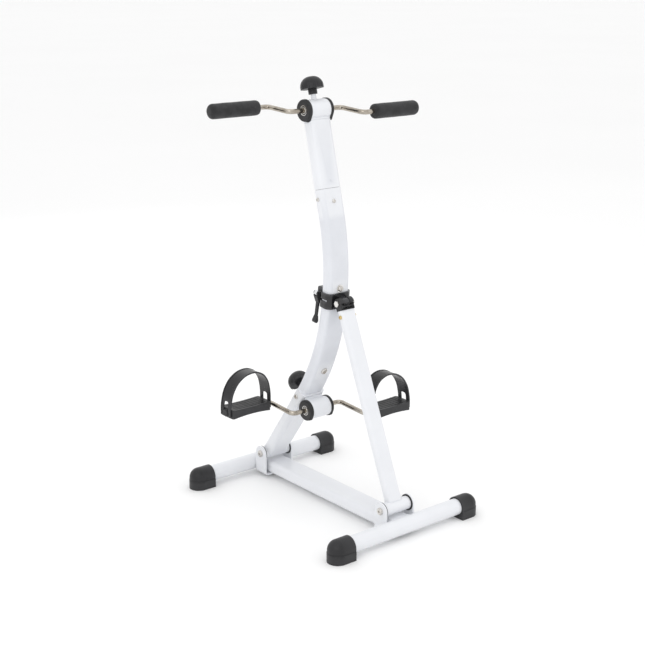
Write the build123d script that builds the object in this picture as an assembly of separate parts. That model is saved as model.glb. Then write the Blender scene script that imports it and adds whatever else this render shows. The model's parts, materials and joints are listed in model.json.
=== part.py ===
from build123d import *
import os
from math import atan2, cos, degrees, radians, sin, tan

# Pedal exerciser with a foot crank and a hand crank on one curved mast.
# +X runs across the machine, along both crank axes. +Y points to the rear, where the mast is
# hinged, -Y to the front, where the strut is hinged, and +Z points up from the floor.
# The origin is on the floor, in the middle of the base. All sizes are millimetres.

# ---- base ----
stabiliser_radius = 19.0
stabiliser_wall = 1.5
stabiliser_height = 27.0
stabiliser_offset = 259.0
rear_half_span = 221.0
front_half_span = 216.0
cap_length = 56.0
cap_width = 47.0
cap_height = 50.0
cap_end_wall = 18.0
cap_skirt_half_width = 24.3
cap_skirt_height = 21.0
base_tube_width = 60.0
base_tube_depth = 30.0
base_tube_corner = 10.0
tube_wall = 1.8

# ---- hinges on the base ----
mast_hinge_y = 217.0
strut_hinge_y = -226.0
hinge_height = 61.0
sleeve_radius = 15.0
sleeve_half_length = 36.0
liner_radius = 18.5
liner_thickness = 2.0
liner_gap = 0.15
cheek_radius = 19.0
cheek_thickness = 4.0
hinge_bolt_radius = 4.0
bush_clearance = 0.05

# ---- mast: a straight foot, one long arc and a straight head ----
mast_width = 60.0
mast_depth = 30.0
mast_corner = 10.0
foot_lean = 36.0
foot_length = 230.0
arc_radius = 532.0
head_lean = -14.0
seam_station = 751.0
seam_gap = 0.9
hand_station = 927.0
foot_station = 225.0

# ---- crank housings ----
housing_radius = 23.0
housing_wall = 2.5
housing_half_length = 27.0
end_cap_thickness = 8.0
end_cap_radius = 24.5
bearing_radius = 12.0
bearing_width = 8.0
foot_axis_offset = 42.8

# ---- crank rods ----
rod_radius = 5.5
rod_clearance = 0.06
crank_tilt = 3.5
hand_crank_throw = 77.0
hand_bend_x = 73.0
foot_crank_throw = 92.0
foot_bend_x = 71.0
rod_bend_radius = 12.0

# ---- hand grips ----
grip_inner_x = 102.0
grip_length = 129.0
grip_radius = 17.0
grip_sleeve_radius = 8.5

# ---- pedals ----
pedal_inner_x = 84.0
pedal_length = 108.0
pedal_width = 51.0
pedal_half_height = 11.0
pedal_waist = 3.5
strap_width = 38.0
strap_thickness = 2.5
strap_gap = 1.2
strap_rim_width = 3.0
strap_rim_rise = 0.9
peg_radius = 2.2
peg_offset = 15.0

# ---- strut ----
strut_width = 40.0
strut_depth = 20.0
strut_corner = 8.0
strut_pin_y = -49.0
strut_pin_z = 494.0
strut_cap_half_width = 19.0
strut_cap_radius = 12.0
strut_cap_drop = 17.0
lug_half_width = 8.0
lug_radius = 10.5
open_pivot_clearance = 0.9

# ---- quick-release collar ----
collar_wall = 4.0
collar_half_height = 17.5
collar_gap = 0.3
skewer_rise = 12.5
skewer_offset = 25.0
skewer_radius = 2.5
barrel_x = 33.0
ear_inner = 2.5
ear_face = 25.2
barrel_radius = 5.5
barrel_pin_radius = 2.0
barrel_width = 8.0
lever_half_width = 6.5

# ---- resistance knobs ----
knob_radius = 26.0
knob_height = 27.0
knob_dome_radius = 22.0
knob_flutes = 10
hub_radius = 10.0
hub_length = 12.0
stem_radius = 4.0
boss_radius = 6.0
hand_knob_rim = 46.0
foot_knob_rim = 78.0
pad_height = 8.0
stem_tip = 13.2


# ---------------------------------------------------------------- helpers
def save(name, shape):
    """Write one sub-part to its own STEP file."""
    export_step(shape, os.path.join("parts", name + ".step"))


def rod_x(radius, x_low, x_high, y=0.0, z=0.0):
    """A round bar along X between two X values."""
    plane = Plane(origin=(x_low, y, z), x_dir=(0, 1, 0), z_dir=(1, 0, 0))
    return extrude(plane * Circle(radius), x_high - x_low)


def ring_x(outer, inner, x_low, x_high, y=0.0, z=0.0):
    """A tube or washer along X."""
    return rod_x(outer, x_low, x_high, y, z) - rod_x(inner, x_low, x_high, y, z)


def hexagon_x(across_flats, x_low, x_high, y=0.0, z=0.0):
    """A hexagonal prism along X."""
    plane = Plane(origin=(x_low, y, z), x_dir=(0, 1, 0), z_dir=(1, 0, 0))
    outline = RegularPolygon(radius=across_flats / 3 ** 0.5, side_count=6)
    return extrude(plane * outline, x_high - x_low)


def mirror_x(shape):
    """The other hand of a sub-part."""
    return mirror(shape, about=Plane.YZ)


def flat_tube_section(width, depth, corner, wall):
    """A hollow rounded rectangle, the section of every flat tube."""
    outer = RectangleRounded(width, depth, corner)
    inner = RectangleRounded(width - 2 * wall, depth - 2 * wall, corner - wall)
    return outer - inner


def side_plane(origin_y, origin_z, lean):
    """A plane across a tube that leans forward by lean degrees: local y is its rear normal."""
    axis = (0, -sin(radians(lean)), cos(radians(lean)))
    return Plane(origin=(0, origin_y, origin_z), x_dir=(1, 0, 0), z_dir=axis)


# ---------------------------------------------------------------- mast line
foot_end = Vector(
    0,
    mast_hinge_y - foot_length * sin(radians(foot_lean)),
    hinge_height + foot_length * cos(radians(foot_lean)),
)
arc_centre = foot_end + Vector(0, cos(radians(foot_lean)), sin(radians(foot_lean))) * arc_radius
arc_length = arc_radius * radians(foot_lean - head_lean)
arc_end_station = foot_length + arc_length


def mast_plane(station):
    """The plane across the mast at a distance along its centre line from the hinge."""
    if station <= foot_length:
        along = Vector(0, -sin(radians(foot_lean)), cos(radians(foot_lean))) * station
        return side_plane(mast_hinge_y + along.Y, hinge_height + along.Z, foot_lean)
    turned = min(station, arc_end_station) - foot_length
    lean = foot_lean - degrees(turned / arc_radius)
    outward = Vector(0, cos(radians(lean)), sin(radians(lean)))
    point = arc_centre - outward * arc_radius
    if station > arc_end_station:
        rest = station - arc_end_station
        point += Vector(0, -sin(radians(lean)), cos(radians(lean))) * rest
    return side_plane(point.Y, point.Z, lean)


def along_arc(section, low_station, high_station):
    """A section, drawn in the local frame of the mast, swept along its arc."""
    sweep_angle = degrees((high_station - low_station) / arc_radius)
    axis = Axis((0, arc_centre.Y, arc_centre.Z), (-1, 0, 0))
    return revolve(mast_plane(low_station) * section, axis, sweep_angle)


def in_mast_frame(station, shape):
    """Move a shape modelled about the origin to its place on the mast."""
    return mast_plane(station).location * shape


# ---------------------------------------------------------------- base
def stabiliser(y, half_span):
    inside = half_span - cap_end_wall
    return ring_x(
        stabiliser_radius, stabiliser_radius - stabiliser_wall,
        -inside, inside, y, stabiliser_height,
    )


def base_tube():
    """The long flat tube, its ends coped to fit round both stabilisers."""
    section = flat_tube_section(base_tube_width, base_tube_depth, base_tube_corner, tube_wall)
    plane = Plane(
        origin=(0, -stabiliser_offset, stabiliser_height), x_dir=(1, 0, 0), z_dir=(0, 1, 0)
    )
    tube = extrude(plane * section, 2 * stabiliser_offset)
    for y in (-stabiliser_offset, stabiliser_offset):
        tube -= rod_x(stabiliser_radius, -60, 60, y, stabiliser_height)
    return max(tube.solids(), key=lambda solid: solid.volume)


def cap_half_profile():
    """Half the section of an end cap: a wider skirt below, an arch above."""
    arch_radius = cap_width / 2
    arch_centre = cap_height - arch_radius
    shoulder = arch_radius * sin(radians(45))
    return make_face([
        Line((0, 0), (cap_skirt_half_width, 0)),
        Line((cap_skirt_half_width, 0), (cap_skirt_half_width, cap_skirt_height)),
        Line((cap_skirt_half_width, cap_skirt_height), (arch_radius, cap_skirt_height)),
        Line((arch_radius, cap_skirt_height), (arch_radius, arch_centre)),
        ThreePointArc(
            (arch_radius, arch_centre), (shoulder, arch_centre + shoulder), (0, cap_height)
        ),
        Line((0, cap_height), (0, 0)),
    ])


def stabiliser_cap(y, half_span):
    """A moulded end cap at +X: arched over the tube, flat below, rounded at its outer end."""
    inner_x = half_span - cap_length
    round_x = half_span - cap_skirt_half_width
    half = cap_half_profile()
    inner_plane = Plane(origin=(inner_x, y, 0), x_dir=(0, 1, 0), z_dir=(1, 0, 0))
    body = extrude(inner_plane * (half + mirror(half, about=Plane.YZ)), round_x - inner_x)
    round_plane = Plane(origin=(round_x, y, 0), x_dir=(0, -1, 0), z_dir=(-1, 0, 0))
    body += revolve(round_plane * half, Axis((round_x, y, 0), (0, 0, 1)), 180)
    bore_end = half_span - cap_end_wall
    return body - rod_x(stabiliser_radius, inner_x - 1, bore_end, y, stabiliser_height)


cheek_inner_x = sleeve_half_length + liner_thickness + 2 * liner_gap
cheek_outer_x = cheek_inner_x + cheek_thickness
yoke_bottom = stabiliser_height - base_tube_depth / 2 - cheek_thickness


def yoke(y):
    """A U-shaped hinge bracket: its web runs under the base tube, its cheeks hold the bolt."""
    outer = Pos(0, yoke_bottom + 60) * RectangleRounded(2 * cheek_outer_x, 120, 9)
    inner = Pos(0, yoke_bottom + cheek_thickness + 60) * RectangleRounded(2 * cheek_inner_x, 120, 5)
    front = Plane(origin=(0, y + cheek_radius, 0), x_dir=(1, 0, 0), z_dir=(0, -1, 0))
    channel = extrude(front * (outer - inner), 2 * cheek_radius)
    side = Plane(origin=(-60, y, 0), x_dir=(0, 1, 0), z_dir=(1, 0, 0))
    outline = Pos(0, hinge_height / 2) * Rectangle(2 * cheek_radius, hinge_height)
    outline += Pos(0, hinge_height) * Circle(cheek_radius)
    bracket = channel & extrude(side * outline, 120)
    bracket -= rod_x(hinge_bolt_radius, -60, 60, y, hinge_height)
    for tube_y in (-stabiliser_offset, stabiliser_offset):
        bracket -= rod_x(stabiliser_radius, -60, 60, tube_y, stabiliser_height)
    return bracket


def hinge_liners(y):
    """The black plastic washers between a sleeve and its two cheeks."""
    low = sleeve_half_length + liner_gap
    right = ring_x(liner_radius, hinge_bolt_radius, low, low + liner_thickness, y, hinge_height)
    return [right, mirror_x(right)]


def hinge_bolt(y):
    """A cup-head bolt through a hinge, its head on the -X side."""
    shank = rod_x(hinge_bolt_radius, -cheek_outer_x, cheek_outer_x + 9, y, hinge_height)
    head = rod_x(8.5, -cheek_outer_x - 4.5, -cheek_outer_x, y, hinge_height)
    head = fillet(head.edges().group_by(Axis.X)[0], 3.0)
    socket = hexagon_x(5, -cheek_outer_x - 5, -cheek_outer_x - 2, y, hinge_height)
    return shank + head - socket


def hinge_nut(y):
    nut = hexagon_x(13, cheek_outer_x, cheek_outer_x + 7, y, hinge_height)
    return nut - rod_x(hinge_bolt_radius, cheek_outer_x - 1, cheek_outer_x + 8, y, hinge_height)


def yoke_screw(y):
    """A screw that fixes the web of a yoke to the underside of the base tube."""
    head = Pos(0, y, yoke_bottom - 1.5) * Cylinder(6, 3)
    shank = Pos(0, y, yoke_bottom + 5) * Cylinder(3, 10)
    return head + shank


# ---------------------------------------------------------------- hinge sleeves
def pivot_sleeve(y):
    return ring_x(
        sleeve_radius, sleeve_radius - 2.5, -sleeve_half_length, sleeve_half_length,
        y, hinge_height,
    )


def pivot_bushes(y):
    """Two flanged-length nylon bushes that let a sleeve turn on its bolt."""
    right = ring_x(
        sleeve_radius - 2.5, hinge_bolt_radius + bush_clearance,
        sleeve_half_length - 20, sleeve_half_length, y, hinge_height,
    )
    return [right, mirror_x(right)]


# ---------------------------------------------------------------- mast
def mast_lower_tube():
    section = flat_tube_section(mast_width, mast_depth, mast_corner, tube_wall)
    foot = extrude(mast_plane(0) * section, foot_length)
    bend = along_arc(section, foot_length, arc_end_station)
    head = extrude(mast_plane(arc_end_station) * section, seam_station - arc_end_station)
    tube = foot + bend + head
    tube -= rod_x(sleeve_radius, -60, 60, mast_hinge_y, hinge_height)
    tube -= in_mast_frame(foot_station, Rot(90, 0, 0) * Cylinder(stem_radius + 0.5, 60))
    return max(tube.solids(), key=lambda solid: solid.volume)


hand_axis = mast_plane(hand_station).origin
foot_axis = (mast_plane(foot_station) * Pos(0, -foot_axis_offset, 0)).position


def mast_upper_tube():
    section = flat_tube_section(mast_width, mast_depth, mast_corner, tube_wall)
    length = hand_station - seam_station - seam_gap
    tube = extrude(mast_plane(seam_station + seam_gap) * section, length)
    tube -= rod_x(housing_radius, -60, 60, hand_axis.Y, hand_axis.Z)
    tube = max(tube.solids(), key=lambda solid: solid.volume)
    dimple = mast_plane(seam_station + 16) * Pos(0, -mast_depth / 2, 0) * Rot(90, 0, 0)
    return tube - dimple * Cylinder(2.5, 1.6)


def mast_spigot():
    """The inner sleeve that joins the two mast tubes."""
    slack = 0.2
    section = flat_tube_section(
        mast_width - 2 * (tube_wall + slack), mast_depth - 2 * (tube_wall + slack),
        mast_corner - tube_wall - slack, tube_wall,
    )
    return extrude(mast_plane(seam_station - 50) * section, 90)


def cap_head_screw(head_radius, head_height, shank_radius, shank_length):
    """A domed screw along +Z, its head resting on the XY plane."""
    head = Pos(0, 0, head_height / 2) * Cylinder(head_radius, head_height)
    head = fillet(head.edges().group_by(Axis.Z)[-1], head_height * 0.6)
    recess = Pos(0, 0, head_height) * Box(head_radius, 1.4, 2.4)
    recess += Pos(0, 0, head_height) * Box(1.4, head_radius, 2.4)
    shank = Pos(0, 0, -shank_length / 2) * Cylinder(shank_radius, shank_length)
    return head + shank - recess


def mast_joint_screws():
    """Three screws into the spigot: one in each side and one in front."""
    screw = cap_head_screw(4.5, 3.0, 2.0, 4.5)
    left = in_mast_frame(seam_station - 21, Pos(-mast_width / 2, 2, 0) * Rot(0, -90, 0) * screw)
    right = in_mast_frame(seam_station - 21, Pos(mast_width / 2, 2, 0) * Rot(0, 90, 0) * screw)
    front = in_mast_frame(seam_station - 29, Pos(0, -mast_depth / 2, 0) * Rot(90, 0, 0) * screw)
    return [left, right, front]


# ---------------------------------------------------------------- crank housings
def housing(axis, boss_direction):
    """A short tube along X that holds two bearings, drilled for the knob stem."""
    tube = ring_x(
        housing_radius, housing_radius - housing_wall,
        -housing_half_length, housing_half_length, axis.Y, axis.Z,
    )
    drill = Plane(origin=axis, z_dir=boss_direction)
    return tube - drill * Pos(0, 0, 20) * Cylinder(stem_radius + 0.2, 40)


def end_cap(axis, corner_y, corner_z, corner_radius):
    """A rounded cover with one corner, at +X, with the seat of the bearing in its middle."""
    circle = Edge.make_circle(end_cap_radius)
    corner = Pos(corner_y, corner_z) * Edge.make_circle(corner_radius)
    outline = make_hull([circle, corner])
    inner_x = housing_half_length
    plane = Plane(origin=(inner_x, axis.Y, axis.Z), x_dir=(0, 1, 0), z_dir=(1, 0, 0))
    body = extrude(plane * outline, end_cap_thickness)
    body = fillet(body.edges().group_by(Axis.X)[-1], 3.0)
    body -= rod_x(bearing_radius, inner_x - 1, inner_x + end_cap_thickness + 1, axis.Y, axis.Z)
    spigot_radius = housing_radius - housing_wall
    body += ring_x(spigot_radius, bearing_radius, inner_x - 6, inner_x, axis.Y, axis.Z)
    return body


def bearing(axis):
    """A bearing at +X, its face just inside the face of the end cap."""
    face = housing_half_length + end_cap_thickness - 0.8
    return ring_x(
        bearing_radius, rod_radius + rod_clearance, face - bearing_width, face, axis.Y, axis.Z
    )


def knob_boss(axis, direction, low, high):
    """A threaded boss welded on, for the stem of a resistance knob."""
    plane = Plane(origin=axis, z_dir=direction)
    middle = (low + high) / 2
    boss = Cylinder(boss_radius, high - low) - Cylinder(stem_radius + rod_clearance, high - low)
    boss = plane.location * Pos(0, 0, middle) * boss
    return boss - rod_x(housing_radius, -20, 20, axis.Y, axis.Z)


def foot_saddle():
    """The bracket that clasps the mast and carries the foot crank housing in a cradle."""
    length = 40.0
    plate = 3.0
    inside = mast_width / 2
    front = -mast_depth / 2
    outer = Pos(0, front - plate + 16) * RectangleRounded(2 * (inside + plate), 32, 9)
    outer += Pos(0, front - plate + 22) * Rectangle(2 * (inside + plate), 22)
    hollow = RectangleRounded(2 * inside, mast_depth, mast_corner)
    hollow += Pos(0, 20) * Rectangle(2 * inside, 40)
    section = outer - hollow
    section -= Pos(0, 30) * Rectangle(100, 42)
    channel = Pos(0, 0, -length / 2) * extrude(section, length)
    cradle = Pos(0, front - plate - 5, 0) * Box(2 * housing_half_length - 4, 10, 26)
    bracket = in_mast_frame(foot_station, channel + cradle)
    bracket -= rod_x(housing_radius, -60, 60, foot_axis.Y, foot_axis.Z)
    bracket -= in_mast_frame(foot_station, Rot(90, 0, 0) * Cylinder(stem_radius + 0.5, 70))
    return max(bracket.solids(), key=lambda solid: solid.volume)


def foot_saddle_screws():
    screw = cap_head_screw(6.0, 3.6, 3.0, 6.0)
    side = mast_width / 2 + 3.0
    left = in_mast_frame(foot_station, Pos(-side, 0, 0) * Rot(0, -90, 0) * screw)
    right = in_mast_frame(foot_station, Pos(side, 0, 0) * Rot(0, 90, 0) * screw)
    return [left, right]


# ---------------------------------------------------------------- strut
strut_run = Vector(0, strut_pin_y - strut_hinge_y, strut_pin_z - hinge_height)
strut_length = strut_run.length
strut_lean = -degrees(atan2(strut_run.Y, strut_run.Z))


def strut_plane(distance):
    """The plane across the strut at a distance from its hinge, local y to the rear."""
    point = Vector(0, strut_hinge_y, hinge_height) + strut_run.normalized() * distance
    return side_plane(point.Y, point.Z, strut_lean)


def strut_tube():
    section = flat_tube_section(strut_width, strut_depth, strut_corner, 1.5)
    tube = extrude(strut_plane(0) * section, strut_length - strut_cap_drop)
    tube -= rod_x(sleeve_radius, -60, 60, strut_hinge_y, hinge_height)
    return max(tube.solids(), key=lambda solid: solid.volume)


def lattice_pockets():
    """Triangular pockets in the front of the strut cap, with ribs left between them."""
    column_width = 7.0
    row_height = 8.0
    rib = 1.3
    pockets = []
    for column in range(5):
        for row in range(2):
            up = (column + row) % 2 == 0
            half = column_width - rib
            tip = row_height - 2 * rib
            points = [(-half, 0), (half, 0), (0, tip)] if up else [(-half, tip), (half, tip), (0, 0)]
            face = make_face(Polyline(*points, close=True))
            x = (column - 2) * column_width
            z = -strut_cap_drop + rib + row * row_height
            pocket = Pos(x, -strut_cap_radius + 4.0, z) * Rot(90, 0, 0) * extrude(face, 8)
            pockets.append(pocket)
    return pockets


def strut_cap():
    """The moulded fork on top of the strut: a plug, two cheeks and a slot for the collar's lug."""
    width = 2 * strut_cap_half_width
    block = Pos(0, 0, -strut_cap_drop / 2) * Box(width, 2 * strut_cap_radius, strut_cap_drop)
    block = fillet(block.edges().filter_by(Axis.Z), 4.0)
    block += rod_x(strut_cap_radius, -strut_cap_half_width, strut_cap_half_width)
    plug_length = 34.0
    plug_section = RectangleRounded(strut_width - 3.0, strut_depth - 3.0, strut_corner - 1.5)
    block += Pos(0, 0, -strut_cap_drop - plug_length) * extrude(plug_section, plug_length)
    for pocket in lattice_pockets():
        block -= pocket
    slot_half = lug_half_width + 0.4
    slot_depth = lug_radius + 1.6
    slot = Pos(0, 0, 10) * Box(2 * slot_half, 40, 20)
    slot += rod_x(slot_depth, -slot_half, slot_half)
    slot += Pos(0, 15, -slot_depth / 2 + 1) * Box(2 * slot_half, 30, slot_depth + 2)
    block -= slot
    block -= rod_x(4.0, -60, 60)
    return strut_plane(strut_length).location * block


def strut_cap_bolt():
    """The bolt through the fork: hexagon head on the -X side."""
    side = strut_cap_half_width
    head = hexagon_x(13, -side - 4.5, -side, strut_pin_y, strut_pin_z)
    return head + rod_x(4.0, -side, side + 8, strut_pin_y, strut_pin_z)


def strut_cap_nut():
    side = strut_cap_half_width
    nut = hexagon_x(13, side, side + 6.5, strut_pin_y, strut_pin_z)
    return nut - rod_x(4.0, side - 1, side + 7, strut_pin_y, strut_pin_z)


def strut_cap_screws():
    screw = cap_head_screw(4.5, 2.8, 2.0, 7.0)
    place = strut_plane(strut_length - 31.0).location
    left = place * Pos(-strut_width / 2, 0, 0) * Rot(0, -90, 0) * screw
    right = place * Pos(strut_width / 2, 0, 0) * Rot(0, 90, 0) * screw
    return [left, right]


# ---------------------------------------------------------------- collar
pin_from_centre = Vector(0, strut_pin_y - arc_centre.Y, strut_pin_z - arc_centre.Z)
pin_lean = -degrees(atan2(pin_from_centre.Z, -pin_from_centre.Y))
collar_station = foot_length + arc_radius * radians(foot_lean - pin_lean)
pin_offset = pin_from_centre.length - arc_radius
collar_front = mast_depth / 2 + collar_gap + collar_wall


def collar_band():
    """The sliding collar: a band with a lug for the strut, two side slits and rear ears."""
    inner = RectangleRounded(
        mast_width + 2 * collar_gap, mast_depth + 2 * collar_gap, mast_corner + collar_gap
    )
    grow = 2 * (collar_gap + collar_wall)
    outer = RectangleRounded(mast_width + grow, mast_depth + grow, mast_corner + grow / 2)
    low = collar_station - collar_half_height
    high = collar_station + collar_half_height
    solid_block = along_arc(outer, low, high)
    lug = rod_x(lug_radius, -lug_half_width, lug_half_width, strut_pin_y, strut_pin_z)
    bridge = Pos(0, -(pin_offset + mast_depth / 2) / 2, 0) * Box(
        2 * lug_half_width, pin_offset - mast_depth / 2, 2 * lug_radius
    )
    solid_block += lug + in_mast_frame(collar_station, bridge)
    ear_low = 0.0
    ear_height = 25.0
    ear = Box(ear_face - ear_inner, skewer_offset + 6.5 - mast_depth / 2, ear_height)
    ear = fillet(ear.edges().filter_by(Axis.X).group_by(Axis.Y)[-1], 5.0)
    ear_y = (skewer_offset + 6.5 + mast_depth / 2) / 2
    for side in (-1, 1):
        place = Pos(side * (ear_face + ear_inner) / 2, ear_y, ear_low + ear_height / 2)
        solid_block += in_mast_frame(collar_station, place * ear)
    cavity = along_arc(inner, low - 2, high + 12)
    block = solid_block - cavity
    split = Pos(0, 30, ear_low + 10) * Box(2 * ear_inner, 30, 40.0)
    slit = Pos(0, 2, 1.0) * Box(100, 26, 5.0)
    for cut in (split, slit):
        block -= in_mast_frame(collar_station, cut)
    block -= rod_x(4.0 + open_pivot_clearance, -20, 20, strut_pin_y, strut_pin_z)
    bore = Pos(0, skewer_offset, skewer_rise - 2) * Rot(0, 90, 0) * Cylinder(skewer_radius, 100)
    return block - in_mast_frame(collar_station, bore)


def skewer_frame(shape):
    """Move a shape to the skewer's axis at the rear of the collar."""
    return in_mast_frame(collar_station, Pos(0, skewer_offset, skewer_rise - 2) * shape)




def qr_skewer():
    """The clamping skewer with the eye that holds the cam barrel."""
    shank = rod_x(skewer_radius, -barrel_x + barrel_radius - 1.5, ear_face + 7.0)
    return skewer_frame(shank)


def qr_barrel():
    """The chromed cross barrel, with the pin on which the cam lever turns."""
    place = Pos(-barrel_x, 0, 0) * Rot(90, 0, 0)
    barrel = Cylinder(barrel_radius, barrel_width)
    barrel = fillet(barrel.edges().filter_by(GeomType.CIRCLE), 1.0)
    barrel += Cylinder(barrel_pin_radius, 2 * lever_half_width)
    return skewer_frame(place * barrel)


def qr_nut():
    nut = rod_x(6.5, ear_face, ear_face + 6.0) - rod_x(skewer_radius, ear_face - 1, ear_face + 8)
    return skewer_frame(nut)


def qr_lever():
    """The cam lever: a forked head on the barrel and an arm with a rounded end, pointing down."""
    width = 2 * lever_half_width
    head = Rot(90, 0, 0) * Cylinder(barrel_radius - 1.1, width)
    neck = Plane.XZ * make_hull([
        Pos(0.5, -6) * Edge.make_circle(4.6),
        Pos(5.0, -22) * Edge.make_circle(2.4),
    ])
    shaft = Plane.XZ * make_hull([
        Pos(5.0, -22) * Edge.make_circle(2.4),
        Pos(3.0, -56) * Edge.make_circle(1.9),
    ])
    bulb = Plane.XZ * make_hull([
        Pos(3.0, -56) * Edge.make_circle(1.9),
        Pos(1.0, -67) * Edge.make_circle(5.0),
    ])
    arm = Pos(0, lever_half_width, 0) * extrude(neck, width)
    for section, arm_width in ((shaft, 8.0), (bulb, 11.0)):
        arm += Pos(0, arm_width / 2, 0) * extrude(section, arm_width)
    fork_height = 24.0
    fork_floor = barrel_radius + 0.6
    fork = Box(60, barrel_width + 0.6, fork_height)
    fork = Pos(0, 0, fork_height / 2 - fork_floor) * fork
    pin_bore = Rot(90, 0, 0) * Cylinder(barrel_pin_radius + bush_clearance, 2 * width)
    return skewer_frame(Pos(-barrel_x, 0, 0) * (head + arm - fork - pin_bore))


# ---------------------------------------------------------------- stops on the mast
upper_stop_station = collar_station + collar_half_height + 9.5
lower_stop_station = 318.0


def stop_bolts():
    screw = cap_head_screw(8.0, 4.5, 3.0, 6.0)
    face = Pos(0, -mast_depth / 2, 0) * Rot(90, 0, 0)
    upper = in_mast_frame(upper_stop_station, Pos(0, -1.6, 0) * face * cap_head_screw(6.5, 5, 3, 8))
    lower = in_mast_frame(lower_stop_station, face * screw)
    return [upper, lower]


def stop_washer():
    ring = Cylinder(9.0, 1.6) - Cylinder(3.0, 1.6)
    face = Pos(0, -mast_depth / 2 - 0.8, 0) * Rot(90, 0, 0)
    return in_mast_frame(upper_stop_station, face * ring)


# ---------------------------------------------------------------- crank rods
tilt = Vector(0, cos(radians(crank_tilt)), sin(radians(crank_tilt)))


def crank_rod(axis, throw, bend_x, end_x):
    """One bent bar: a shaft on the axis, two opposite throws and two outer spindles."""
    centre = Vector(0, axis.Y, axis.Z)
    points = [
        centre + tilt * throw + Vector(-end_x, 0, 0),
        centre + tilt * throw + Vector(-bend_x, 0, 0),
        centre + Vector(-bend_x, 0, 0),
        centre + Vector(bend_x, 0, 0),
        centre - tilt * throw + Vector(bend_x, 0, 0),
        centre - tilt * throw + Vector(end_x, 0, 0),
    ]
    path = FilletPolyline(*points, radius=rod_bend_radius)
    start = Plane(origin=points[0], z_dir=(1, 0, 0))
    return sweep(start * Circle(rod_radius), path)


def spindle_centre(axis, throw, side):
    """Where the outer spindle lies: to the rear on the -X side, to the front on the +X side."""
    return Vector(0, axis.Y, axis.Z) - tilt * (throw * side)


# ---------------------------------------------------------------- hand grips
def grip_sleeve(side):
    centre = spindle_centre(hand_axis, hand_crank_throw, side)
    low = grip_inner_x
    high = grip_inner_x + grip_length
    sleeve = ring_x(
        grip_sleeve_radius, rod_radius + rod_clearance, low, high - 4, centre.Y, centre.Z
    )
    sleeve += rod_x(grip_sleeve_radius, high - 4, high - 1, centre.Y, centre.Z)
    return sleeve if side > 0 else mirror_x(sleeve)


def grip_foam(side):
    centre = spindle_centre(hand_axis, hand_crank_throw, side)
    low = grip_inner_x + 1
    high = grip_inner_x + grip_length
    foam = rod_x(grip_radius, low, high, centre.Y, centre.Z)
    foam = fillet(foam.edges().group_by(Axis.X)[-1], 8.0)
    foam = fillet(foam.edges().group_by(Axis.X)[0], 2.0)
    foam -= rod_x(grip_sleeve_radius, low - 1, high - 1, centre.Y, centre.Z)
    return foam if side > 0 else mirror_x(foam)


# ---------------------------------------------------------------- pedals
def pedal_body(side):
    """A waisted pedal with thick end plates and ribs along its tread."""
    centre = spindle_centre(foot_axis, foot_crank_throw, side)
    middle = pedal_inner_x + pedal_length / 2
    half = pedal_length / 2
    side_plane_xz = Plane.XZ
    top = pedal_half_height
    outline = make_face([
        Line((-half, -top), (-half, top)),
        ThreePointArc((-half, top), (0, top - pedal_waist / 2), (half, top)),
        Line((half, top), (half, -top)),
        ThreePointArc((half, -top), (0, -top + pedal_waist), (-half, -top)),
    ])
    body = Pos(0, pedal_width / 2, 0) * extrude(side_plane_xz * outline, pedal_width)
    body = fillet(body.edges().filter_by(Axis.Z), 5.0)
    for rib_y in (-18.0, -9.0, 0.0, 9.0, 18.0):
        groove = Pos(0, rib_y, top) * Box(pedal_length - 22, 2.0, 5.0)
        body -= groove
    for window_x in (-28.0, 0.0, 28.0):
        body -= Pos(window_x, 0, -top + 1) * Box(22, 34, 8)
    peg_reach = half + strap_gap + strap_thickness + 0.8
    for peg_y in (-peg_offset, peg_offset):
        body += rod_x(peg_radius, -peg_reach, peg_reach, peg_y)
    body = Pos(middle, centre.Y, centre.Z) * body
    body -= rod_x(rod_radius + rod_clearance, 0, 300, centre.Y, centre.Z)
    return body if side > 0 else mirror_x(body)


def bend_radii(route):
    """For each corner of a route, the largest radius that its two runs leave room for."""
    radii = []
    for before, corner, after in zip(route, route[1:], route[2:]):
        first = corner - before
        second = after - corner
        half_turn = radians(first.get_angle(second)) / 2
        radii.append(0.45 * min(first.length, second.length) / tan(half_turn))
    return radii


def pedal_strap(side):
    """The foot loop, a moulded strip with forked ends that hook on the end plates."""
    centre = spindle_centre(foot_axis, foot_crank_throw, side)
    outer_x = pedal_inner_x + pedal_length
    out = strap_gap + strap_thickness / 2
    inner_leg = pedal_inner_x - out
    outer_leg = outer_x + out
    foot_z = -7.0
    route = [
        Vector(inner_leg, 0, foot_z),
        Vector(inner_leg, 0, 32.0),
        Vector(87.0, 0, 60.0),
        Vector(101.0, 0, 80.0),
        Vector(124.0, 0, 89.0),
        Vector(150.0, 0, 86.0),
        Vector(173.0, 0, 71.0),
        Vector(188.0, 0, 47.0),
        Vector(outer_leg, 0, 16.0),
        Vector(outer_leg, 0, foot_z),
    ]
    path = FilletPolyline(*route, radius=bend_radii(route))
    start = Plane(origin=(inner_leg, 0, foot_z), x_dir=(1, 0, 0), z_dir=(0, 0, 1))
    section = Rectangle(strap_thickness, strap_width)
    for edge_y in (-1, 1):
        rim = Rectangle(strap_thickness, strap_rim_width)
        section += Pos(-strap_rim_rise, edge_y * (strap_width - strap_rim_width) / 2) * rim
    strip = sweep(start * section, path)
    for x in (inner_leg, outer_leg):
        window = Pos(x, 0, 15.0) * Box(16, 17, 26)
        strip -= fillet(window.edges().filter_by(Axis.X), 6.0)
    strip -= rod_x(10.5, 60, 230)
    for peg_y in (-peg_offset, peg_offset):
        strip -= rod_x(peg_radius + 0.1, 60, 230, peg_y)
    strip = Pos(0, centre.Y, centre.Z) * strip
    return strip if side > 0 else mirror_x(strip)


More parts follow.
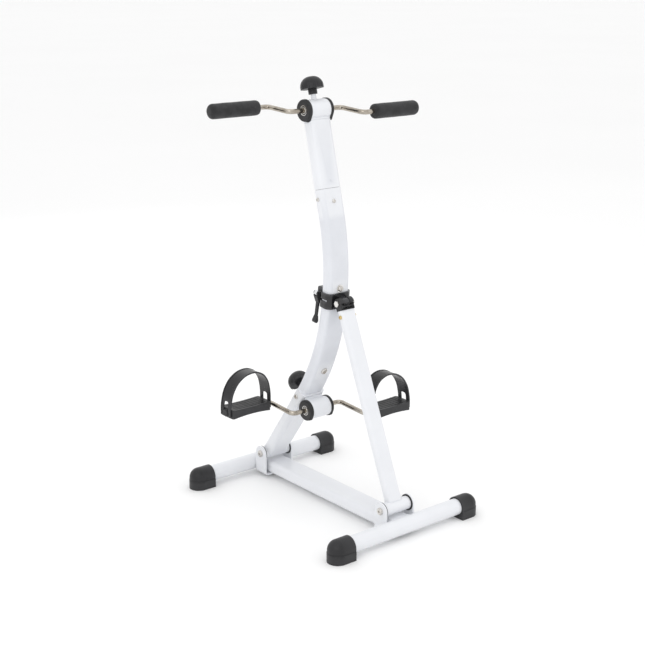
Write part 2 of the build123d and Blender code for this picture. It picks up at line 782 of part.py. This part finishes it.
def spindle_nut(side):
    """The push-on cap that keeps a pedal on its spindle."""
    centre = spindle_centre(foot_axis, foot_crank_throw, side)
    low = pedal_inner_x + pedal_length + 0.5
    nut = rod_x(9.0, low, low + 5.5, centre.Y, centre.Z)
    nut = fillet(nut.edges().group_by(Axis.X)[-1], 2.5)
    nut -= rod_x(rod_radius, low - 1, low + 3.5, centre.Y, centre.Z)
    return nut if side > 0 else mirror_x(nut)


# ---------------------------------------------------------------- resistance knobs
def knob(axis, direction, rim):
    """A domed knob with flutes round its edge and a hub below."""
    plane = Plane(origin=axis, z_dir=direction)
    body = Pos(0, 0, knob_height / 2) * Cylinder(knob_radius, knob_height)
    body = fillet(body.edges().group_by(Axis.Z)[-1], knob_dome_radius)
    body += Pos(0, 0, -hub_length / 2) * Cylinder(hub_radius, hub_length)
    for index in range(knob_flutes):
        flute = Rot(0, 0, (index + 0.5) * 360 / knob_flutes) * Pos(knob_radius + 1.8, 0, 4)
        body -= flute * Cylinder(3.2, 40)
    body -= Pos(0, 0, -hub_length) * Cylinder(stem_radius, 2 * hub_length)
    return plane.location * Pos(0, 0, rim) * body


def knob_stem(axis, direction, tip, rim):
    """The threaded stem, fixed in the knob's hub, that presses the brake pad."""
    plane = Plane(origin=axis, z_dir=direction)
    return plane.location * Pos(0, 0, (tip + rim) / 2) * Cylinder(stem_radius, rim - tip)


def brake_pad(axis, direction):
    """The pad that the stem presses on the crank shaft, hollowed to fit it."""
    plane = Plane(origin=axis, z_dir=direction)
    pad = plane.location * Pos(0, 0, pad_height / 2 + 5.0) * Cylinder(6.0, pad_height)
    return pad - rod_x(rod_radius + 0.3, -20, 20, axis.Y, axis.Z)


# ---------------------------------------------------------------- build
def drilled(shape, fasteners):
    """A sub-part with a hole for each fastener that goes through it."""
    for fastener in fasteners:
        shape -= fastener
    return shape


os.makedirs("parts", exist_ok=True)

hinge_ys = (mast_hinge_y, strut_hinge_y)
web_screws = [yoke_screw(y) for y in hinge_ys]
save("base_tube", drilled(base_tube(), web_screws))
save("rear_stabiliser_tube", stabiliser(stabiliser_offset, rear_half_span))
save("front_stabiliser_tube", stabiliser(-stabiliser_offset, front_half_span))
for end, y, span in (
    ("rear", stabiliser_offset, rear_half_span),
    ("front", -stabiliser_offset, front_half_span),
):
    foot = stabiliser_cap(y, span)
    save(end + "_right_cap", foot)
    save(end + "_left_cap", mirror_x(foot))
save("rear_yoke", drilled(yoke(mast_hinge_y), web_screws))
save("front_yoke", drilled(yoke(strut_hinge_y), web_screws))
save("hinge_bolts", Compound([hinge_bolt(y) for y in hinge_ys]))
save("hinge_nuts", Compound([hinge_nut(y) for y in hinge_ys]))
save("hinge_liners", Compound([liner for y in hinge_ys for liner in hinge_liners(y)]))
save("yoke_screws", Compound(web_screws))

joint_screws = mast_joint_screws()
saddle_screws = foot_saddle_screws()
stops = stop_bolts()
hand_cap = end_cap(hand_axis, -13.5, -20.5, 4.0)
foot_cap = end_cap(foot_axis, -14.0, -16.0, 5.0)
save("mast_lower_tube", drilled(mast_lower_tube(), joint_screws + saddle_screws + stops))
save("mast_upper_tube", drilled(mast_upper_tube(), [hand_cap, mirror_x(hand_cap)]))
save("mast_spigot", drilled(mast_spigot(), joint_screws))
save("mast_joint_screws", Compound(joint_screws))
save("mast_pivot_sleeve", pivot_sleeve(mast_hinge_y))
save("mast_pivot_bushes", Compound(pivot_bushes(mast_hinge_y)))

hand_knob_direction = mast_plane(hand_station).z_dir
foot_knob_direction = mast_plane(foot_station).y_dir
save("hand_housing", housing(hand_axis, hand_knob_direction))
save("foot_housing", housing(foot_axis, foot_knob_direction))
save("hand_right_end_cap", hand_cap)
save("hand_left_end_cap", mirror_x(hand_cap))
save("foot_right_end_cap", foot_cap)
save("foot_left_end_cap", mirror_x(foot_cap))
bearings = [bearing(hand_axis), bearing(foot_axis)]
save("crank_bearings", Compound(bearings + [mirror_x(item) for item in bearings]))
hand_boss = knob_boss(hand_axis, hand_knob_direction, housing_radius - 1.0, 33.5)
mast_rear = foot_axis_offset + mast_depth / 2
foot_boss = knob_boss(foot_axis, foot_knob_direction, mast_rear, mast_rear + 8.0)
save("knob_bosses", Compound([hand_boss, foot_boss]))
save("foot_saddle", drilled(foot_saddle(), saddle_screws))
save("foot_saddle_screws", Compound(saddle_screws))
save("stop_bolts", Compound(stops))
save("stop_washer", stop_washer())

save("collar_band", collar_band())
save("qr_skewer", qr_skewer())
save("qr_barrel", drilled(qr_barrel(), [qr_skewer()]))
save("qr_nut", qr_nut())
save("qr_lever", qr_lever())

cap_screws = strut_cap_screws()
save("strut_tube", drilled(strut_tube(), cap_screws))
save("strut_pivot_sleeve", pivot_sleeve(strut_hinge_y))
save("strut_pivot_bushes", Compound(pivot_bushes(strut_hinge_y)))
save("strut_cap", drilled(strut_cap(), cap_screws))
save("strut_cap_bolt", strut_cap_bolt())
save("strut_cap_nut", strut_cap_nut())
save("strut_cap_screws", Compound(cap_screws))

grip_end = grip_inner_x + grip_length - 5.0
pedal_end = pedal_inner_x + pedal_length + 4.0
save("hand_crank_rod", crank_rod(hand_axis, hand_crank_throw, hand_bend_x, grip_end))
save("foot_crank_rod", crank_rod(foot_axis, foot_crank_throw, foot_bend_x, pedal_end))
for hand, side in (("left", -1), ("right", 1)):
    save(hand + "_grip_sleeve", grip_sleeve(side))
    save(hand + "_grip_foam", grip_foam(side))
    save(hand + "_pedal_body", pedal_body(side))
    save(hand + "_pedal_strap", pedal_strap(side))
save("spindle_nuts", Compound([spindle_nut(side) for side in (-1, 1)]))

knobs = (
    ("hand", hand_axis, hand_knob_direction, hand_knob_rim),
    ("foot", foot_axis, foot_knob_direction, foot_knob_rim),
)
for name, axis, direction, rim in knobs:
    save(name + "_knob", knob(axis, direction, rim))
    save(name + "_knob_stem", knob_stem(axis, direction, stem_tip, rim))
    save(name + "_brake_pad", brake_pad(axis, direction))
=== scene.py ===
import json
from math import cos, pi, radians, sin, sqrt

import bmesh
import bpy
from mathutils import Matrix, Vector


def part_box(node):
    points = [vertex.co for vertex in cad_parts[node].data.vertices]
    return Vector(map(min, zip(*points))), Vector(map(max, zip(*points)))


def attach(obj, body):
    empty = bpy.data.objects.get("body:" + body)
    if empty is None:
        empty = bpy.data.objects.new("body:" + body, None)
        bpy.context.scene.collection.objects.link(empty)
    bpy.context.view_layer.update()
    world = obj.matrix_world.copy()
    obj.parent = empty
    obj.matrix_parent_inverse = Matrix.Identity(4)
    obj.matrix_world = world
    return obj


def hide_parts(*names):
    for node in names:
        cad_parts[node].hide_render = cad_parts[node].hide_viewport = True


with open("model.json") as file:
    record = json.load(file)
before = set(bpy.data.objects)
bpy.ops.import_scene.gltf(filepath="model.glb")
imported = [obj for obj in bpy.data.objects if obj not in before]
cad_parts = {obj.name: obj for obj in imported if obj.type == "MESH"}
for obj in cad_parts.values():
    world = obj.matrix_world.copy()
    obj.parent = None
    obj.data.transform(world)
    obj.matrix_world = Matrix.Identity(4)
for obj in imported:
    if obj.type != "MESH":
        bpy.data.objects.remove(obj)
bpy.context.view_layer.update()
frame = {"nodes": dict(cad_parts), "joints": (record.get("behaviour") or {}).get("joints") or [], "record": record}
record = frame["record"]
nodes = frame["nodes"]
joints = {joint["name"]: joint for joint in frame["joints"]}

# ------------------------------------------------------------------ materials

# Between each pair of limits, a noise or edge value turns from the first colour to the second.
patch_limits = (0.35, 0.65)
edge_limits = (0.53, 0.60)
dust_limits = (0.66, 0.74)
dust_scale = 260.0
bump_strength = 0.6
coat_roughness = 0.08
black = (0.0, 0.0, 0.0)


def surface(name, low, high, rough=(0.4, 0.5), metal=0.0, grain=900.0, grain_depth=0.0001,
            patch=14.0, edge_wear_and_highlight=None, edge_wear_and_highlight_amount=0.0, dust=0.0, coat=0.0, sheen=0.0, pores=False, gloss=0.5):
    """A procedural finish: patchy colour, fine grain, uneven roughness and lighter convex edges, worn on most
    finishes and a painted highlight on the white paint.

    grain and patch are noise scales, in cells per metre. grain_depth is in metres.
    """
    mat = bpy.data.materials.new(name)
    mat.use_nodes = True
    tree = mat.node_tree
    add = tree.nodes.new
    link = tree.links.new
    bsdf = tree.nodes["Principled BSDF"]
    coords = add("ShaderNodeTexCoord").outputs["Object"]

    def noise(scale, detail=3.0):
        node = add("ShaderNodeTexNoise")
        node.inputs["Scale"].default_value = scale
        node.inputs["Detail"].default_value = detail
        link(coords, node.inputs["Vector"])
        return node.outputs["Fac"]

    def ramp(value, limits, from_colour, to_colour):
        node = add("ShaderNodeValToRGB")
        node.color_ramp.elements[0].position = limits[0]
        node.color_ramp.elements[1].position = limits[1]
        node.color_ramp.elements[0].color = (*from_colour, 1.0)
        node.color_ramp.elements[1].color = (*to_colour, 1.0)
        link(value, node.inputs["Fac"])
        return node.outputs["Color"]

    def mix(factor, first, second):
        node = add("ShaderNodeMix")
        node.data_type = "RGBA"
        link(factor, node.inputs["Factor"])
        link(first, node.inputs["A"])
        if isinstance(second, tuple):
            node.inputs["B"].default_value = (*second, 1.0)
        else:
            link(second, node.inputs["B"])
        return node.outputs["Result"]

    colour = ramp(noise(patch, 5.0), patch_limits, low, high)
    # Convex edges, found by pointiness, turn toward a lighter edge colour: worn edges on most finishes, a painted
    # highlight along the edges on the white paint.
    if edge_wear_and_highlight:
        pointiness = add("ShaderNodeNewGeometry").outputs["Pointiness"]
        edge = ramp(pointiness, edge_limits, black, (edge_wear_and_highlight_amount,) * 3)
        colour = mix(edge, colour, edge_wear_and_highlight)
    if dust:
        specks = ramp(noise(dust_scale, 2.0), dust_limits, black, (dust,) * 3)
        dust_colour = tuple(0.5 * channel + 0.22 for channel in high)
        colour = mix(specks, colour, dust_colour)
    link(colour, bsdf.inputs["Base Color"])

    spread = add("ShaderNodeMapRange")
    spread.inputs["To Min"].default_value = rough[0]
    spread.inputs["To Max"].default_value = rough[1]
    link(noise(patch * 3.0, 4.0), spread.inputs["Value"])
    link(spread.outputs["Result"], bsdf.inputs["Roughness"])

    if pores:
        cells = add("ShaderNodeTexVoronoi")
        cells.inputs["Scale"].default_value = grain
        link(coords, cells.inputs["Vector"])
        height = cells.outputs["Distance"]
    else:
        height = noise(grain, 2.0)
    bump = add("ShaderNodeBump")
    bump.inputs["Strength"].default_value = bump_strength
    bump.inputs["Distance"].default_value = grain_depth
    link(height, bump.inputs["Height"])
    link(bump.outputs["Normal"], bsdf.inputs["Normal"])

    bsdf.inputs["Metallic"].default_value = metal
    bsdf.inputs["Specular IOR Level"].default_value = gloss
    bsdf.inputs["Coat Weight"].default_value = coat
    bsdf.inputs["Coat Roughness"].default_value = coat_roughness
    bsdf.inputs["Sheen Weight"].default_value = sheen
    return mat


finishes = {
    # The white paint's lighter bluish-white edge colour is a painted highlight along the edges, not wear.
    "white_paint": surface(
        "white_paint", (0.68, 0.695, 0.735), (0.73, 0.745, 0.785), rough=(0.28, 0.40),
        grain=650.0, grain_depth=0.00006, edge_wear_and_highlight=(0.86, 0.87, 0.89), edge_wear_and_highlight_amount=0.5, coat=0.15),
    "black_plastic": surface(
        "black_plastic", (0.012, 0.012, 0.013), (0.022, 0.022, 0.024), rough=(0.38, 0.52),
        grain=1500.0, grain_depth=0.00012, edge_wear_and_highlight=(0.05, 0.05, 0.053), edge_wear_and_highlight_amount=0.4, dust=0.06,
        gloss=0.35),
    "gloss_black": surface(
        "gloss_black", (0.008, 0.008, 0.009), (0.014, 0.014, 0.016), rough=(0.10, 0.18),
        grain=500.0, grain_depth=0.00003, edge_wear_and_highlight=(0.06, 0.06, 0.065), edge_wear_and_highlight_amount=0.5, coat=0.3,
        gloss=0.35),
    "plated_steel": surface(
        "plated_steel", (0.58, 0.555, 0.52), (0.70, 0.68, 0.65), rough=(0.14, 0.24), metal=1.0,
        grain=1800.0, grain_depth=0.00002, patch=40.0, edge_wear_and_highlight=(0.82, 0.81, 0.79), edge_wear_and_highlight_amount=0.8),
    "crank_steel": surface(
        "crank_steel", (0.34, 0.30, 0.25), (0.50, 0.46, 0.40), rough=(0.13, 0.22), metal=1.0,
        grain=1800.0, grain_depth=0.00002, patch=50.0, edge_wear_and_highlight=(0.62, 0.58, 0.52), edge_wear_and_highlight_amount=0.5),
    "chrome": surface(
        "chrome", (0.74, 0.75, 0.77), (0.82, 0.83, 0.84), rough=(0.05, 0.11), metal=1.0,
        grain=1200.0, grain_depth=0.00001, patch=60.0),
    "brass": surface(
        "brass", (0.62, 0.47, 0.20), (0.74, 0.58, 0.28), rough=(0.22, 0.34), metal=1.0,
        grain=1800.0, grain_depth=0.00003, patch=120.0, edge_wear_and_highlight=(0.84, 0.72, 0.45), edge_wear_and_highlight_amount=0.7),
    "black_steel": surface(
        "black_steel", (0.03, 0.03, 0.032), (0.05, 0.05, 0.055), rough=(0.35, 0.5), metal=0.8,
        grain=1600.0, grain_depth=0.00004, edge_wear_and_highlight=(0.25, 0.25, 0.26), edge_wear_and_highlight_amount=0.6),
    "bare_steel": surface(
        "bare_steel", (0.36, 0.36, 0.37), (0.46, 0.46, 0.47), rough=(0.3, 0.42), metal=1.0,
        grain=1600.0, grain_depth=0.00004, patch=40.0),
    "nylon": surface(
        "nylon", (0.68, 0.66, 0.60), (0.76, 0.74, 0.68), rough=(0.42, 0.52), grain=1200.0),
    "foam": surface(
        "foam", (0.014, 0.014, 0.015), (0.026, 0.026, 0.028), rough=(0.84, 0.96),
        grain=1100.0, grain_depth=0.0005, patch=60.0, dust=0.12, sheen=0.15, pores=True),
    "pedal_plastic": surface(
        "pedal_plastic", (0.012, 0.012, 0.013), (0.024, 0.024, 0.026), rough=(0.36, 0.5),
        grain=1300.0, grain_depth=0.00014, edge_wear_and_highlight=(0.06, 0.06, 0.063), edge_wear_and_highlight_amount=0.5, dust=0.08,
        gloss=0.25),
    "strap_plastic": surface(
        "strap_plastic", (0.010, 0.010, 0.011), (0.018, 0.018, 0.020), rough=(0.20, 0.32),
        grain=900.0, grain_depth=0.00008, edge_wear_and_highlight=(0.05, 0.05, 0.053), edge_wear_and_highlight_amount=0.5, gloss=0.28),
    "pad_rubber": surface(
        "pad_rubber", (0.05, 0.05, 0.05), (0.09, 0.09, 0.09), rough=(0.7, 0.85), grain=1400.0),
}

slot_of = {entry["node"]: entry["material_slot"] for entry in record["subparts"]}
for node_name, obj in nodes.items():
    finish = finishes[slot_of[node_name]]
    if not obj.material_slots:
        obj.data.materials.append(finish)
    for material_slot in obj.material_slots:
        material_slot.material = finish

# ------------------------------------------------------------------ mesh tools

ripple_share = 0.16
swell_share = 0.08
not_along_a_tube = Vector((0.31, 0.52, 0.79))
corner_steps = 10


def piece(name, mesh, slot, body, smooth=True):
    """Turns a bmesh into a piece that rides on a body with one finish."""
    data = bpy.data.meshes.new(name)
    bmesh.ops.recalc_face_normals(mesh, faces=mesh.faces)
    mesh.to_mesh(data)
    mesh.free()
    obj = bpy.data.objects.new(name, data)
    bpy.context.scene.collection.objects.link(obj)
    data.materials.append(finishes[slot])
    for polygon in data.polygons:
        polygon.use_smooth = smooth
    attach(obj, body)
    return obj


def bead(mesh, path, radius, seed, closed=True, sides=10):
    """A weld bead: a tube along a path whose radius rises and falls with each ripple."""
    count = len(path)
    rings = []
    for index, point in enumerate(path):
        before = path[index - 1] if index or closed else point
        after = path[(index + 1) % count] if index < count - 1 or closed else point
        along = (after - before).normalized()
        side = along.cross(not_along_a_tube).normalized()
        up = along.cross(side)
        uneven = ripple_share * sin(index * 1.9 + seed) + swell_share * sin(index * 0.7)
        ripple = radius * (1.0 + uneven)
        rings.append([
            mesh.verts.new(point + ripple * (
                side * cos(2 * pi * k / sides) + up * sin(2 * pi * k / sides)))
            for k in range(sides)
        ])
    for index in range(count if closed else count - 1):
        first = rings[index]
        second = rings[(index + 1) % count]
        for k in range(sides):
            mesh.faces.new((first[k], first[(k + 1) % sides], second[(k + 1) % sides], second[k]))
    if not closed:
        mesh.faces.new(rings[0])
        mesh.faces.new(rings[-1])


def rounded_rectangle(width, depth, corner, step=0.0012):
    """Points round a flat tube's outline, evenly spaced."""
    points = []
    for cx, cy, start in ((1, 1, 0), (-1, 1, 90), (-1, -1, 180), (1, -1, 270)):
        centre = (cx * (width / 2 - corner), cy * (depth / 2 - corner))
        for turn in range(corner_steps + 1):
            angle = radians(start + 90 * turn / corner_steps)
            points.append((centre[0] + corner * cos(angle), centre[1] + corner * sin(angle)))
    spaced = []
    for (ax, ay), (bx, by) in zip(points, points[1:] + points[:1]):
        length = sqrt((bx - ax) ** 2 + (by - ay) ** 2)
        parts = max(1, round(length / step))
        spaced += [(ax + (bx - ax) * k / parts, ay + (by - ay) * k / parts) for k in range(parts)]
    return spaced


def lathe_x(mesh, profile, centre, sides=64, wave=0.0, seed=0.0):
    """A turned form along X. profile holds (x, radius); wave makes a soft form uneven."""
    rings = []
    for x, radius in profile:
        ring = []
        for k in range(sides):
            angle = 2 * pi * k / sides
            r = radius + wave * sin(3 * angle + 60 * x + seed) * sin(90 * x + 2 * angle)
            ring.append(mesh.verts.new(
                (x, centre[1] + r * cos(angle), centre[2] + r * sin(angle))))
        rings.append(ring)
    for first, second in zip(rings, rings[1:]):
        for k in range(sides):
            mesh.faces.new((first[k], first[(k + 1) % sides], second[(k + 1) % sides], second[k]))
    mesh.faces.new(rings[0])
    mesh.faces.new(rings[-1])


# ------------------------------------------------------------------ foam grips

grip_inset = 0.0003
grip_bore = 0.0062
grip_lip = 0.004
grip_round = 0.010
grip_waviness = 0.00022
grip_spans = 24

for hand, side in (("left", -1), ("right", 1)):
    low, high = (Vector(corner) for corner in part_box(hand + "_grip_foam"))
    middle = (low + high) / 2
    radius = (high.z - low.z) / 2 - grip_inset
    inner = min(abs(low.x), abs(high.x))
    outer = max(abs(low.x), abs(high.x))
    length = outer - inner
    straight = length - grip_lip - grip_round
    profile = [
        (0.0006, grip_bore), (0.0002, grip_bore + 0.002), (0.0, radius * 0.7),
        (0.0012, radius * 0.93), (grip_lip, radius * 0.985),
    ]
    profile += [
        (grip_lip + straight * k / grip_spans, radius) for k in range(1, grip_spans + 1)
    ]
    for turn in range(10, 91, 10):
        along = length - grip_round * (1 - sin(radians(turn)))
        profile.append((along, radius - grip_round * (1 - cos(radians(turn)))))
    profile.append((length, radius * 0.25))
    placed = [(side * (inner + x), r) for x, r in profile]
    mesh = bmesh.new()
    lathe_x(mesh, placed, middle, wave=grip_waviness, seed=side)
    grip = piece(hand + "_grip_cover", mesh, "foam", hand + "_grip")
    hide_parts(hand + "_grip_foam")

# ------------------------------------------------------------------ welds on the base

flat_tube_corner = 0.010
base_bead = 0.0017

tube_low, tube_high = (Vector(corner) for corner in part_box("base_tube"))
outline = rounded_rectangle(
    tube_high.x - tube_low.x, tube_high.z - tube_low.z, flat_tube_corner)
tube_middle_z = (tube_low.z + tube_high.z) / 2
mesh = bmesh.new()
for end in ("rear", "front"):
    low, high = (Vector(corner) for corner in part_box(end + "_stabiliser_tube"))
    round_radius = (high.z - low.z) / 2
    centre_y = (low.y + high.y) / 2
    toward = -1 if centre_y > 0 else 1
    path = [
        Vector((x, centre_y + toward * sqrt(round_radius ** 2 - z ** 2), tube_middle_z + z))
        for x, z in outline
    ]
    bead(mesh, path, base_bead, seed=toward)
piece("base_welds", mesh, "white_paint", "base")

# ------------------------------------------------------------------ welds on mast and strut


def joint_point(name):
    """A joint's position as a vector."""
    return Vector(joints[name]["pos_m"])


def tube_weld(name, body, hinge, along, size, barrel_radius, radius, drop=0.0, seed=0.0):
    """A bead round a flat tube where it meets a round barrel across its end."""
    width, depth, corner = size
    across = along.cross(Vector((1, 0, 0)))
    path = []
    for x, d in rounded_rectangle(width, depth, corner):
        rise = sqrt(max(barrel_radius ** 2 - d ** 2, 0.0)) + drop
        path.append(hinge + Vector((x, 0, 0)) + across * d + along * rise)
    mesh = bmesh.new()
    bead(mesh, path, radius, seed)
    return piece(name, mesh, "white_paint", body)


# Width, depth and corner radius of the flat tubes.
mast_size = (0.060, 0.030, flat_tube_corner)
strut_size = (0.040, 0.020, 0.008)
head_bead = 0.0016
head_edge_bead = 0.0007
head_edge_drop = 0.0058
foot_bead = 0.0014
cradle_bead = 0.0015
cradle_half = 0.013
cradle_step = 0.0012
cradle_steps = 19
head_along = -Vector(joints["hand_tension_travel"]["axis"])
foot_out = Vector(joints["foot_tension_travel"]["axis"])
foot_along = Vector((1, 0, 0)).cross(foot_out)
sleeve_low, sleeve_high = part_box("mast_pivot_sleeve")
sleeve_radius = (sleeve_high[2] - sleeve_low[2]) / 2
head_low, head_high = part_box("hand_housing")
head_radius = (head_high[2] - head_low[2]) / 2
strut_low, strut_high = (Vector(corner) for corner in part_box("strut_cap_bolt"))
strut_pin = (strut_low + strut_high) / 2
strut_foot = joint_point("strut_follow")
strut_along = Vector((0, strut_pin.y - strut_foot.y, strut_pin.z - strut_foot.z)).normalized()
hand_axis = joint_point("hand_crank_spin")
foot_axis = joint_point("foot_crank_spin")

tube_weld("head_weld", "mast", hand_axis, head_along, mast_size, head_radius, head_bead)
tube_weld("head_weld_edge", "mast", hand_axis, head_along, mast_size, head_radius,
          head_edge_bead, drop=head_edge_drop, seed=2.0)
tube_weld("mast_foot_weld", "mast", joint_point("mast_recline"), foot_along, mast_size,
          sleeve_radius, foot_bead, seed=1.0)
tube_weld("strut_foot_weld", "strut", strut_foot, strut_along, strut_size,
          sleeve_radius, foot_bead, seed=3.0)

mesh = bmesh.new()
for sign in (-1, 1):
    reach = sqrt(head_radius ** 2 - cradle_half ** 2)
    spot = foot_axis + foot_out * reach + foot_along * (sign * cradle_half)
    path = [
        spot + Vector((step * cradle_step, 0, 0))
        for step in range(-cradle_steps, cradle_steps + 1)
    ]
    bead(mesh, path, cradle_bead, seed=sign, closed=False)
piece("foot_cradle_welds", mesh, "white_paint", "mast")

# ------------------------------------------------------------------ bearings


def ring_section(mesh, centre, side, rows, sides=56):
    """A closed ring along X whose section is the loop of (x, radius) rows."""
    rings = []
    for x, radius in rows:
        rings.append([
            mesh.verts.new((side * x, centre.y + radius * cos(2 * pi * k / sides),
                            centre.z + radius * sin(2 * pi * k / sides)))
            for k in range(sides)
        ])
    for first, second in zip(rings, rings[1:] + rings[:1]):
        for k in range(sides):
            mesh.faces.new((first[k], first[(k + 1) % sides], second[(k + 1) % sides], second[k]))


# Sections of a bearing, as (place behind the face of the end cap, radius).
outer_race = ((-0.0086, 0.0119), (-0.0014, 0.0119), (-0.0008, 0.0114), (-0.0008, 0.0102),
              (-0.0014, 0.0098), (-0.0086, 0.0098))
inner_race = ((-0.0086, 0.0074), (-0.0014, 0.0074), (-0.0008, 0.0070), (-0.0008, 0.0060),
              (-0.0014, 0.00565), (-0.0086, 0.00565))
shield = ((-0.0080, 0.00975), (-0.0022, 0.00975), (-0.0018, 0.0086), (-0.0022, 0.00745),
          (-0.0080, 0.00745))
races = bmesh.new()
shields = bmesh.new()
face_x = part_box("hand_right_end_cap")[1][0]
for centre in (hand_axis, foot_axis):
    for side in (-1, 1):
        for rows in (outer_race, inner_race):
            ring_section(races, centre, side, [(face_x + x, r) for x, r in rows])
        ring_section(shields, centre, side, [(face_x + x, r) for x, r in shield])
race_piece = piece("bearing_races", races, "plated_steel", "mast", smooth=False)
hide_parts("crank_bearings")
piece("bearing_shields", shields, "black_steel", "mast")

# ------------------------------------------------------------------ floor, light, camera

floor_mesh = bmesh.new()
floor_size = 60.0
for x, y in ((-1, -1), (1, -1), (1, 1), (-1, 1)):
    floor_mesh.verts.new((x * floor_size, y * floor_size, 0.0))
floor_mesh.faces.new(floor_mesh.verts)
floor_data = bpy.data.meshes.new("floor")
floor_mesh.to_mesh(floor_data)
floor_mesh.free()
floor = bpy.data.objects.new("floor", floor_data)
bpy.context.scene.collection.objects.link(floor)
floor_data.materials.append(surface(
    "floor_finish", (0.955, 0.955, 0.955), (0.965, 0.965, 0.965), rough=(0.7, 0.8),
    grain=60.0, grain_depth=0.00005, patch=0.6))


def softbox(name, position, target, size, power):
    light = bpy.data.lights.new(name, "AREA")
    light.shape = "RECTANGLE"
    light.size, light.size_y = size
    light.energy = power
    obj = bpy.data.objects.new(name, light)
    obj.location = position
    obj.rotation_euler = (Vector(target) - Vector(position)).to_track_quat("-Z", "Y").to_euler()
    bpy.context.scene.collection.objects.link(obj)


centre = (0.0, 0.0, 0.45)
softbox("key", (-2.6, -1.6, 2.6), centre, (1.8, 1.8), 16.0)
softbox("fill", (2.6, -2.4, 1.6), centre, (2.2, 2.2), 2.5)
softbox("top", (0.2, 0.4, 3.4), centre, (2.6, 2.6), 8.0)
softbox("back", (0.8, 3.0, 1.8), centre, (2.0, 2.0), 5.0)

world = bpy.data.worlds.new("world")
world.use_nodes = True
world.node_tree.nodes["Background"].inputs["Color"].default_value = (1.0, 1.0, 1.0, 1.0)
world.node_tree.nodes["Background"].inputs["Strength"].default_value = 1.0
bpy.context.scene.world = world
bpy.context.scene.view_settings.view_transform = "Standard"

camera_data = bpy.data.cameras.new("camera")
camera_data.sensor_width = 36.0
camera_data.lens = 72.1
camera = bpy.data.objects.new("camera", camera_data)
look_at = Vector((-0.0180, 0.0057, 0.4390))
azimuth = radians(-39.2)
elevation = radians(15.9)
distance = 2.936
away = Vector((sin(azimuth) * cos(elevation), -cos(azimuth) * cos(elevation), sin(elevation)))
camera.location = look_at + away * distance
camera.rotation_euler = (-away).to_track_quat("-Z", "Y").to_euler()
camera_data.clip_end = 200.0
bpy.context.scene.collection.objects.link(camera)
bpy.context.scene.camera = camera
